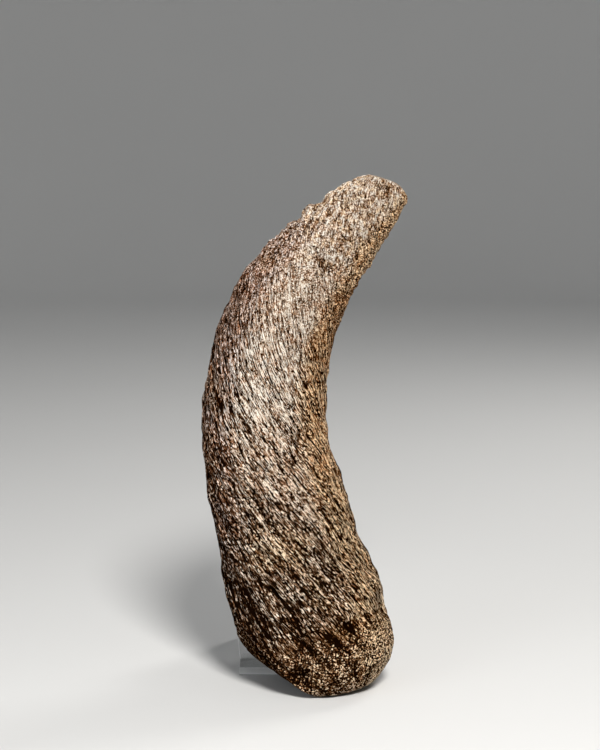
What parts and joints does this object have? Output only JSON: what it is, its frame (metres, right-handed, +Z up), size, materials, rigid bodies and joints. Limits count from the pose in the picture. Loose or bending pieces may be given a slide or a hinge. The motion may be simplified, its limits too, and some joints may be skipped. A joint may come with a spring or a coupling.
{
  "type": "fossil bison horn core with stand",
  "caption": "Curved, spirally furrowed fossil horn core with a broken base and blunt tip, leaning upright in a bent clear acrylic easel.",
  "frame": {"origin": "middle of the footprint, on the plane that the stand rests on", "axes": "+Z up, -Y towards the front that the horn core is shown from, +X to the side that the tip hooks over to"},
  "size_m": [0.1307, 0.1471, 0.3185],
  "materials": {
    "fossil_bone": "mineralised bone, brown with pale worn ridges and near-black pits and furrows, dull with a faint polish on the high spots",
    "clear_acrylic": "clear polished acrylic sheet, see-through, with bright polished edges"
  },
  "bodies": {
    "root": {"horn_core": "fossil_bone", "display_stand": "clear_acrylic"}
  },
  "joints": []
}
